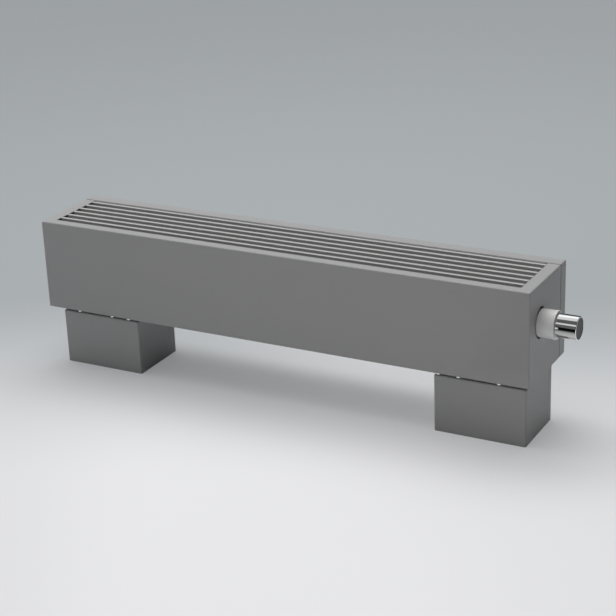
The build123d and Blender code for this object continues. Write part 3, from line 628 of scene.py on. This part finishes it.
def make_grille_bars():
    low, high = bar_boxes[0]
    pitch = bar_boxes[1][0].y - low.y
    mesh = grow(
        "grille_bars", BARS, finishes["grille_paint"],
        Start=(low.x, (low.y + high.y) / 2, (low.z + high.z) / 2),
        Length=high.x - low.x, Width=high.y - low.y, Depth=high.z - low.z,
        Round=BAR_ROUND, Pitch=pitch, Count=len(bar_boxes),
    )
    piece = as_piece("grille_bars", mesh, "grille", "grille_paint")
    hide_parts("grille_slats")


# Exchanger fins

FIN_PITCH = 4.0 * MM
FIN_STEPS = 13
FIN_THICKNESS = 0.35 * MM
FIN_RIPPLE = 0.35 * MM
FIN_WAVES = 6.0 * math.pi
COLLAR_RADIUS = 8.1 * MM


def make_fins():
    low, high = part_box("fin_pack")
    front_low, front_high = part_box("hairpin_tube_front")
    rear_low, rear_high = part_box("hairpin_tube_rear")
    tube = (front_high.y - front_low.y) / 2
    row = (front_low.y + front_high.y) / 2
    level = front_low.z + tube
    count = int(round((high.x - low.x) / FIN_PITCH))
    mesh = grow(
        "exchanger_fins", FINS, finishes["fin_aluminium"],
        Start=(low.x + FIN_PITCH / 4, low.y, (low.z + high.z) / 2),
        Depth=high.y - low.y, Height=high.z - low.z, Thickness=FIN_THICKNESS,
        Ripple=FIN_RIPPLE, Waves=FIN_WAVES, Steps=FIN_STEPS, Pitch=FIN_PITCH, Count=count,
        **{
            "Tube Row": row - low.y,
            "Tube Rows Apart": (rear_low.y + rear_high.y) / 2 - row,
            "Tube Level": level - (low.z + high.z) / 2,
            "Tube Levels Apart": front_high.z - tube - level,
            "Collar": COLLAR_RADIUS,
            "Collar Length": high.x - low.x - FIN_PITCH / 2,
        },
    )
    piece = as_piece("exchanger_fins", mesh, "root", "fin_aluminium")
    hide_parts("fin_pack")


# Screws and spacers

SCREW_HEAD_HEIGHT = 2.2 * MM
SCREW_SHANK_RADIUS = 1.95 * MM
RECESS_ARM = 0.62 * MM
RECESS_REACH = 2.0 * MM
RECESS_DEPTH = 1.3 * MM
RECESS_TAPER = 0.5
SCREW_DOME = 0.9 * MM
SCREW_DOME_STEPS = 4
SCREW_TIP_RADIUS = 0.9 * MM
SCREW_TIP_LENGTH = 1.2 * MM


def pan_screw(head_radius, length):
    """Pan-head screw, pointing up, with a cross recess in its head. Its seat is at the origin."""
    form = bmesh.new()
    top = SCREW_HEAD_HEIGHT
    shoulder = top - SCREW_DOME
    tail = top - length
    side = [
        (tail, SCREW_TIP_RADIUS), (tail + SCREW_TIP_LENGTH, SCREW_SHANK_RADIUS),
        (0.0, SCREW_SHANK_RADIUS), (0.0, head_radius), (shoulder, head_radius),
    ]
    for step in range(1, SCREW_DOME_STEPS + 1):
        angle = math.pi / 2 * step / SCREW_DOME_STEPS
        rise = SCREW_DOME * math.sin(angle)
        side.append((shoulder + rise, head_radius - SCREW_DOME * (1 - math.cos(angle))))
    rings = []
    for height, radius in side:
        ring = []
        for step in range(SMALL_STEPS):
            angle = 2 * math.pi * step / SMALL_STEPS
            ring.append(form.verts.new((radius * math.cos(angle), radius * math.sin(angle), height)))
        rings.append(ring)
    for ring, other in zip(rings, rings[1:]):
        for step in range(SMALL_STEPS):
            after = (step + 1) % SMALL_STEPS
            form.faces.new((ring[step], ring[after], other[after], other[step]))
    form.faces.new(list(reversed(rings[0])))

    cross = []
    arm = [(RECESS_REACH, -RECESS_ARM), (RECESS_REACH, RECESS_ARM), (RECESS_ARM, RECESS_ARM)]
    for quarter in range(4):
        swing = Matrix.Rotation(quarter * math.pi / 2, 2)
        cross += [swing @ Vector(corner) for corner in arm]
    rim = [form.verts.new((point.x, point.y, top)) for point in cross]
    floor = [
        form.verts.new((point.x * RECESS_TAPER, point.y * RECESS_TAPER, top - RECESS_DEPTH))
        for point in cross
    ]
    flat_edges = [form.edges.new((rim[place], rim[place - 1])) for place in range(len(rim))]
    outer = rings[-1]
    for step in range(SMALL_STEPS):
        flat_edges.append(form.edges.get((outer[step], outer[step - 1])))
    bmesh.ops.triangle_fill(form, edges=flat_edges, use_beauty=True)
    for place in range(len(rim)):
        form.faces.new((rim[place - 1], rim[place], floor[place], floor[place - 1]))
    form.faces.new(floor)
    return to_mesh("pan_screw", form)


def set_out(name, node_name, part_mesh, points, turn, slot_name):
    """One piece from a small part set at every point, in place of a CAD node."""
    part = bpy.data.objects.new(name + "_part", part_mesh)
    bpy.context.scene.collection.objects.link(part)
    places = bpy.data.meshes.new(name)
    places.from_pydata([tuple(point) for point in points], [], [])
    mesh = grow(name, SETTING, finishes[slot_name], places, Part=part, Turn=turn)
    bpy.data.objects.remove(part)
    piece = as_piece(name, mesh, "root", slot_name)
    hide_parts(node_name)


UPWARDS = (0.0, 0.0, 0.0)
DOWNWARDS = (math.pi, 0.0, 0.0)
BACKWARDS = (-math.pi / 2, 0.0, 0.0)


def make_screws(name, node_name, axis, sign, turn):
    """Cross-recess screws where the CAD has them. Their heads face along one axis."""
    boxes = islands(node_name)
    low, high = boxes[0]
    across = (axis + 1) % 3
    head_radius = (high[across] - low[across]) / 2
    length = high[axis] - low[axis]
    seats = []
    for low, high in boxes:
        seat = (low + high) / 2
        outside = high[axis] if sign > 0 else low[axis]
        seat[axis] = outside - sign * SCREW_HEAD_HEIGHT
        seats.append(seat)
    set_out(name, node_name, pan_screw(head_radius, length), seats, turn, "fixing_steel")


SPACER_ROUND = 0.35 * MM
SPACER_BORE = 2.2 * MM


def make_gap_spacers(side):
    """Polished spacers that keep the casing off the plinth, with their edges broken."""
    node_name = f"plinth_spacers_{side}"
    form = bmesh.new()
    for low, high in islands(node_name):
        radius = (high.x - low.x) / 2
        height = high.z - low.z
        outline = rounded(
            [(0.0, SPACER_BORE), (0.0, radius), (height, radius), (height, SPACER_BORE)],
            {1: SPACER_ROUND, 2: SPACER_ROUND}, steps=3,
        )
        turned = lathe(outline, SMALL_STEPS)
        place = Matrix.Translation(((low.x + high.x) / 2, (low.y + high.y) / 2, low.z))
        turned.transform(place @ Matrix.Rotation(-math.pi / 2, 4, "Y"))
        spacer = bpy.data.meshes.new("spacer")
        turned.to_mesh(spacer)
        turned.free()
        form.from_mesh(spacer)
        bpy.data.meshes.remove(spacer)
    name = f"gap_spacers_{side}"
    piece = as_piece(name, to_mesh(name, form), "root", "polished_spacer")
    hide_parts(node_name)


# Thermostatic head

RIM_LENGTH = 4.0 * MM
RIM_ROUND = 0.5 * MM
BASE_ROOT_ROUND = 1.0 * MM
BASE_GAP = 0.4 * MM
RIM_STEP = 0.5 * MM
SHELL_WALL = 2.0 * MM
SLEEVE_BORE = 12.4 * MM
SLEEVE_RADIUS = 14.4 * MM
SLEEVE_REACH = 17.4 * MM
SLEEVE_CLEARANCE = 0.3 * MM
GRIP_ROUND = 0.8 * MM
GRIP_MOUTH_ROUND = 0.3 * MM
GRIP_WEB = 2.6 * MM
DISC_RECESS = 0.6 * MM
DISC_THICKNESS = 2.4 * MM
DISC_BACK_ROUND = 0.2 * MM
DISC_FRONT_ROUND = 0.3 * MM
DISC_HOLLOW = 0.12 * MM
DISC_HOLLOW_SHARE = 0.94
DISC_RINGS = 6
NECK_RADIUS = 13.0 * MM
NECK_BORE = 11.0 * MM
NECK_FLANGE = 4.5 * MM
NECK_FLANGE_RADIUS = 14.8 * MM


def make_thermostat_base():
    """White base of the head: a shell with a rounded root and a slightly prouder rim."""
    low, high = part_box("head_base")
    rim_radius = (high.y - low.y) / 2
    radius = rim_radius - RIM_STEP
    end = high.x
    rim_start = end - RIM_LENGTH
    casing_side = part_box("rear_panel")[1].x + BASE_GAP
    neck_step = low.x + NECK_FLANGE
    mouth = SLEEVE_RADIUS + SLEEVE_CLEARANCE
    bore = radius - SHELL_WALL
    outline = rounded([
        (low.x, NECK_BORE), (low.x, NECK_FLANGE_RADIUS), (neck_step, NECK_FLANGE_RADIUS),
        (neck_step, NECK_RADIUS), (casing_side, NECK_RADIUS), (casing_side, radius),
        (rim_start, radius), (rim_start + RIM_STEP, rim_radius), (end, rim_radius), (end, mouth),
        (rim_start, mouth), (rim_start, bore), (casing_side + SHELL_WALL, bore),
        (casing_side + SHELL_WALL, NECK_BORE),
    ], {5: BASE_ROOT_ROUND, 8: RIM_ROUND, 9: RIM_ROUND})
    mesh = to_mesh("thermostat_base", on_head_axis(lathe(outline, ROUND_STEPS)))
    piece = as_piece("thermostat_base", mesh, "root", "white_plastic")
    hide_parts("head_base")


def make_thermostat_grip():
    """Chromed handle: a plain drum with broken edges, and the sleeve that turns in the base."""
    low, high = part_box("head_handle")
    radius = (high.y - low.y) / 2
    start = low.x + SLEEVE_REACH
    bore = radius - SHELL_WALL
    seat = high.x - DISC_RECESS - DISC_THICKNESS
    outline = rounded([
        (low.x, SLEEVE_BORE), (low.x, SLEEVE_RADIUS), (start, SLEEVE_RADIUS), (start, radius),
        (high.x, radius), (high.x, bore), (seat, bore), (seat, 0.0), (seat - SHELL_WALL, 0.0),
        (seat - SHELL_WALL, bore), (start + GRIP_WEB, bore), (start + GRIP_WEB, SLEEVE_BORE),
    ], {3: GRIP_ROUND, 4: GRIP_ROUND, 5: GRIP_MOUTH_ROUND})
    mesh = to_mesh("thermostat_grip", on_head_axis(lathe(outline, ROUND_STEPS)))
    piece = as_piece("thermostat_grip", mesh, "handle", "polished_chrome")
    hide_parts("head_handle")


def make_grip_disc():
    """Dark disc let into the end of the handle, its face very slightly hollow."""
    low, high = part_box("handle_end_cap")
    radius = (high.y - low.y) / 2
    hollow = radius * DISC_HOLLOW_SHARE
    face = []
    for step in range(DISC_RINGS + 1):
        share = step / DISC_RINGS
        face.append((high.x - DISC_HOLLOW * (1 - share ** 2), hollow * share))
    edge = rounded(
        [(low.x, 0.0), (low.x, radius), (high.x, radius), (high.x, hollow)],
        {1: DISC_BACK_ROUND, 2: DISC_FRONT_ROUND}, steps=3,
    )
    outline = edge[:-1] + face[::-1]
    mesh = to_mesh("grip_disc", on_head_axis(lathe(outline, ROUND_STEPS)))
    piece = as_piece("grip_disc", mesh, "handle", "dark_end_face")
    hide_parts("handle_end_cap")


# Studio

CAMERA_PLACE = Vector((1.1749, -2.1507, 1.1058))
CAMERA_YAW = -0.5013
CAMERA_PITCH = -0.377
CAMERA_ROLL = -0.0384
CAMERA_LENS = 96.52
CAMERA_FILM = 36.0
CAMERA_NEAREST = 0.05

# The pale front of the floor passes into the grey back between two depths from the camera.
# Its sides, given in metres across the view, are darker, and the back starts sooner at the right.
# The grey back and the darker sides are painted shade: the fall-off of the light painted into the
# floor's colour.
FLOOR_REACH = 15.0
FLOOR_FRONT = grey(0.80, (0.995, 0.995, 1.01))
FLOOR_SIDE_PAINTED_SHADE = grey(0.62, (0.98, 0.99, 1.02))
FLOOR_BACK_PAINTED_SHADE = grey(0.385, (0.95, 1.01, 1.05))
FLOOR_PALE_AT = 2.12
FLOOR_GREY_AT = 2.95
FLOOR_DULLING = 0.06
RIGHT_SIDE = (0.02, 0.50)
RIGHT_SIDE_SHADE = 0.3
RIGHT_SIDE_DEPTH = 0.12
LEFT_SIDE = (-0.50, -0.22)
LEFT_SIDE_SHADE = 0.35
# Share of the floor's painted glow: for the camera and for reflections it glows in its own colour,
# which lightens the shadow cast on it.
FLOOR_PAINTED_GLOW_SHARE = 0.36
BACKDROP = (0.39, 0.42, 0.44, 1.0)

# The flag stands in front of the head and lies below it. Its lying part fades towards the head.
# Only reflections show it; its glow is a painted reflection.
FLAG_LEFT = 0.30
FLAG_RIGHT = 0.50
FLAG_FRONT = -0.345
FLAG_NEAR = -0.082
FLAG_TOP = 0.30
FLAG_LEVEL = 0.11
FLAG_FADE = (-0.36, -0.09)
FLAG_UPPER = (0.215, 0.235)
FLAG_UPPER_SHARE = 0.26
FLAG_DARK = grey(0.002)
FLAG_PALE = grey(0.45)

# Lights of the world. The pairs and fours are swings in degrees, from straight in front over the
# top, between which a light rises or falls, or rises and falls again.
DOME_FRONT = 0.40
DOME_RISE = (60.0, 88.0)
DOME_RISE_BY = 2.66
DOME_FALL = (112.0, 145.0)
DOME_FALL_BY = 2.00
GLOSS_EVERYWHERE = 0.06
LOWER_BAND = (10.0, 14.0, 29.0, 34.0)
LOWER_STRENGTH = 0.08
FRONT_BAND = (29.0, 37.0, 43.0, 51.0)
FRONT_STRENGTH = 0.9
CEILING_BAND = (47.0, 51.0, 76.0, 82.0)
CEILING_STRENGTH = 0.07
OVERHEAD_RISE = (77.0, 88.0)
OVERHEAD_RISE_BY = 0.75
OVERHEAD_NEXT_RISE = (110.0, 118.0)
OVERHEAD_NEXT_RISE_BY = 0.45
OVERHEAD_FALL = (138.0, 150.0)
OVERHEAD_FALL_BY = 1.20
OVERHEAD_STRENGTH = 1.15

# All of them fall off to the right, between two values of the direction's X
RIGHT_FALL = (-0.10, 0.55)
RIGHT_FALL_SHARE = 0.98

KEY_WIDTH = 1.8
KEY_DEPTH = 0.9
KEY_POWER = 21.0
KEY_PLACE = Vector((-0.5, 0.85, 2.2))
KEY_AIM = Vector((0.0, 0.0, 0.15))


def plane(name, corners, faces=((0, 1, 2, 3),)):
    """A flat or folded card of the studio, which isn't part of the object."""
    mesh = bpy.data.meshes.new(name)
    mesh.from_pydata(corners, [], faces)
    card = bpy.data.objects.new(name, mesh)
    bpy.context.scene.collection.objects.link(card)
    return card


def make_camera():
    cos_pitch = math.cos(CAMERA_PITCH)
    forward = Vector((
        math.sin(CAMERA_YAW) * cos_pitch, math.cos(CAMERA_YAW) * cos_pitch, math.sin(CAMERA_PITCH)
    ))
    level = Vector((math.cos(CAMERA_YAW), -math.sin(CAMERA_YAW), 0.0))
    upright = level.cross(forward)
    right = level * math.cos(CAMERA_ROLL) + upright * math.sin(CAMERA_ROLL)
    up = upright * math.cos(CAMERA_ROLL) - level * math.sin(CAMERA_ROLL)
    lens = bpy.data.cameras.new("camera")
    lens.lens = CAMERA_LENS
    lens.sensor_width = CAMERA_FILM
    lens.clip_start = CAMERA_NEAREST
    camera = bpy.data.objects.new("camera", lens)
    bpy.context.scene.collection.objects.link(camera)
    turn = Matrix((right, up, -forward)).transposed().to_4x4()
    camera.matrix_world = Matrix.Translation(CAMERA_PLACE) @ turn
    bpy.context.scene.camera = camera


def make_floor():
    """Pale seamless floor, with painted shade that falls off to grey behind the object and a little
    to its right. A painted glow in its own colour lightens the object's shadow on it.
    """
    floor = plane("floor", [
        (-FLOOR_REACH, -FLOOR_REACH, 0.0), (FLOOR_REACH, -FLOOR_REACH, 0.0),
        (FLOOR_REACH, FLOOR_REACH, 0.0), (-FLOOR_REACH, FLOOR_REACH, 0.0),
    ])
    paper = Finish("floor_paper")
    x, y, _ = paper.axes(paper.place)
    beside = x - CAMERA_PLACE.x
    beyond = y - CAMERA_PLACE.y
    depth = beside * math.sin(CAMERA_YAW) + beyond * math.cos(CAMERA_YAW)
    across = beside * math.cos(CAMERA_YAW) - beyond * math.sin(CAMERA_YAW)
    # Painted shade: the floor's colour darkens towards its sides and its back.
    right = across.between(*RIGHT_SIDE)
    left = 1.0 - across.between(*LEFT_SIDE)
    near = paper.mix(right * RIGHT_SIDE_SHADE + left * LEFT_SIDE_SHADE, FLOOR_FRONT, FLOOR_SIDE_PAINTED_SHADE)
    far = (depth + right * RIGHT_SIDE_DEPTH).between(FLOOR_PALE_AT, FLOOR_GREY_AT)
    colour = paper.mix(far, near, FLOOR_BACK_PAINTED_SHADE)
    duller = paper.mix(FLOOR_DULLING, colour, grey(0.0))
    lit = paper.node("ShaderNodeBsdfDiffuse", None, {"Color": duller})
    # Painted glow: the floor also shows its own colour as light to the camera and to reflections.
    plain = paper.node("ShaderNodeEmission", None, {"Color": colour, "Strength": 1.0})
    light = paper.node("ShaderNodeLightPath").outputs
    seen = Signal(paper, light["Is Camera Ray"]) + Signal(paper, light["Is Glossy Ray"])
    seen = seen + Signal(paper, light["Is Transmission Ray"])
    shown = paper.node(
        "ShaderNodeMixShader", None, {0: seen * FLOOR_PAINTED_GLOW_SHARE, 1: lit.outputs[0], 2: plain.outputs[0]}
    )
    paper.node("ShaderNodeOutputMaterial", None, {"Surface": shown.outputs[0]})
    floor.data.materials.append(paper.material)


def make_black_flag():
    """Card in front of the head that only polish shows. It glows from dark to pale, a painted
    reflection that gives the chrome its dark lower bands.
    """
    rows = [(FLAG_FRONT, FLAG_TOP), (FLAG_FRONT, FLAG_LEVEL), (FLAG_NEAR, FLAG_LEVEL)]
    corners = [(x, y, z) for y, z in rows for x in (FLAG_LEFT, FLAG_RIGHT)]
    flag = plane("black_flag", corners, [(0, 1, 3, 2), (2, 3, 5, 4)])
    painted_reflection_card = Finish("flag_cloth")
    _, y, z = painted_reflection_card.axes(painted_reflection_card.place)
    lying = y.between(*FLAG_FADE)
    upper = z.between(*FLAG_UPPER) * FLAG_UPPER_SHARE
    # Painted reflection: the card glows dark far from the head, paler near it and high up.
    colour = painted_reflection_card.mix(lying * lying + upper, FLAG_DARK, FLAG_PALE)
    glow = painted_reflection_card.node("ShaderNodeEmission", None, {"Color": colour, "Strength": 1.0})
    painted_reflection_card.node("ShaderNodeOutputMaterial", None, {"Surface": glow.outputs[0]})
    flag.data.materials.append(painted_reflection_card.material)
    flag.visible_camera = False
    flag.visible_diffuse = False
    flag.visible_shadow = False
    flag.visible_transmission = False


def band(swing, edges):
    """Rises between the first two edges and falls between the last two."""
    begins, full, fades, ends = edges
    return swing.between(begins, full) - swing.between(fades, ends)


def make_world():
    """A soft dome, and the long lights along the object that gloss and polish show."""
    world = bpy.data.worlds.new("studio")
    bpy.context.scene.world = world
    world.use_nodes = True
    sky = Nodes(world.node_tree)
    direction = sky.node("ShaderNodeTexCoord").outputs["Generated"]
    x, y, z = sky.axes(direction)
    swing = z.reckon("ARCTAN2", z, 0.0 - y) * math.degrees(1.0)
    fall = 1.0 - x.between(*RIGHT_FALL) * RIGHT_FALL_SHARE

    dome = DOME_FRONT + swing.between(*DOME_RISE) * DOME_RISE_BY
    dome = dome - swing.between(*DOME_FALL) * DOME_FALL_BY
    bands = [
        band(swing, LOWER_BAND) * LOWER_STRENGTH,
        band(swing, FRONT_BAND) * FRONT_STRENGTH,
        band(swing, CEILING_BAND) * CEILING_STRENGTH,
    ]
    overhead = swing.between(*OVERHEAD_RISE) * OVERHEAD_RISE_BY
    overhead = overhead + swing.between(*OVERHEAD_NEXT_RISE) * OVERHEAD_NEXT_RISE_BY
    overhead = overhead - swing.between(*OVERHEAD_FALL) * OVERHEAD_FALL_BY
    gloss = sum(bands, GLOSS_EVERYWHERE) + overhead * OVERHEAD_STRENGTH

    light = sky.node("ShaderNodeLightPath").outputs
    soft = sky.node("ShaderNodeBackground", None, {"Strength": dome * fall})
    polished = sky.node("ShaderNodeBackground", None, {"Strength": gloss * fall})
    studio = sky.node(
        "ShaderNodeMixShader", None,
        {0: light["Is Glossy Ray"], 1: soft.outputs[0], 2: polished.outputs[0]},
    )
    backdrop = sky.node("ShaderNodeBackground", None, {"Color": BACKDROP})
    shown = sky.node(
        "ShaderNodeMixShader", None,
        {0: light["Is Camera Ray"], 1: studio.outputs[0], 2: backdrop.outputs[0]},
    )
    sky.node("ShaderNodeOutputWorld", None, {"Surface": shown.outputs[0]})


def make_key_light():
    """Soft key from above, a little behind, which gives the shadows a direction."""
    lamp = bpy.data.lights.new("key_light", "AREA")
    lamp.shape = "RECTANGLE"
    lamp.size = KEY_WIDTH
    lamp.size_y = KEY_DEPTH
    lamp.energy = KEY_POWER
    holder = bpy.data.objects.new("key_light", lamp)
    bpy.context.scene.collection.objects.link(holder)
    turn = (KEY_AIM - KEY_PLACE).to_track_quat("-Z", "Y").to_matrix().to_4x4()
    holder.matrix_world = Matrix.Translation(KEY_PLACE) @ turn
    holder.visible_glossy = False


make_camera()
make_world()
make_key_light()
make_floor()
make_black_flag()

finish_cad_nodes()
make_grille_bars()
make_fins()
make_thermostat_base()
make_thermostat_grip()
make_grip_disc()
make_screws("under_screws", "rear_panel_screws", axis=2, sign=-1, turn=DOWNWARDS)
make_screws("end_plate_fixings", "end_plate_screws", axis=2, sign=1, turn=UPWARDS)
for side in ("left", "right"):
    make_screws(
        f"back_screws_{side}", f"plinth_back_screws_{side}", axis=1, sign=1, turn=BACKWARDS
    )
    make_gap_spacers(side)

bpy.context.scene.view_settings.view_transform = "Standard"
